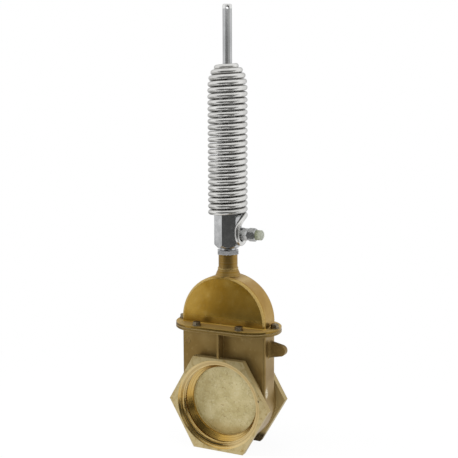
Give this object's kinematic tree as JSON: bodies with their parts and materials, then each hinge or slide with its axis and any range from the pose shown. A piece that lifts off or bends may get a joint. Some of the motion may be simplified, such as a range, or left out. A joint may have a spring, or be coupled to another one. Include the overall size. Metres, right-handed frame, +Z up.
{
  "type": "hydraulic gate valve",
  "caption": "Brass knife gate valve with threaded hexagon ports, lifted by a single-acting hydraulic cylinder and closed by an outside tension spring.",
  "frame": {"origin": "on the floor plane under the stem axis, midway between the lower flats of the two hexagon port ends", "axes": "+Z up the stem, Y along the flow with the front port facing -Y, +X towards the hydraulic inlet"},
  "size_m": [0.2367, 0.114, 0.871],
  "materials": {
    "cast_brass": "satin cast and machined brass",
    "gate_brass": "matt rough brass",
    "gasket": "matt",
    "zinc_steel": "bright zinc plate",
    "spring_steel": "bright zinc plated wire",
    "chrome_rod": "hard chrome, ground",
    "pale_plastic": "translucent soft plastic"
  },
  "bodies": {
    "valve_housing": {"valve_body": "cast_brass", "bonnet": "cast_brass", "front_seat_ring": "gate_brass", "rear_seat_ring": "gate_brass", "flange_gasket": "gasket", "lock_nut": "zinc_steel", "cylinder_base": "zinc_steel", "cylinder_tube": "zinc_steel", "gland_nut": "zinc_steel", "rod_wiper": "gasket", "return_spring": "spring_steel", "sealing_washer": "zinc_steel", "stud_fitting": "zinc_steel", "coupling_nut": "zinc_steel", "dust_cap": "pale_plastic"},
    "gate_and_rod": {"gate_plate": "gate_brass", "gate_nut": "zinc_steel", "piston_rod": "chrome_rod", "piston": "zinc_steel", "spring_seat": "zinc_steel", "seat_nut": "zinc_steel"}
  },
  "joints": [
    {"name": "gate_slide", "type": "slide", "parent": "valve_housing", "child": "gate_and_rod", "axis": [0, 0, 1], "range_m": [0, 0.15], "stiffness_N_per_m": 12000, "springref_m": -0.03, "deforming": ["return_spring"]}
  ]
}
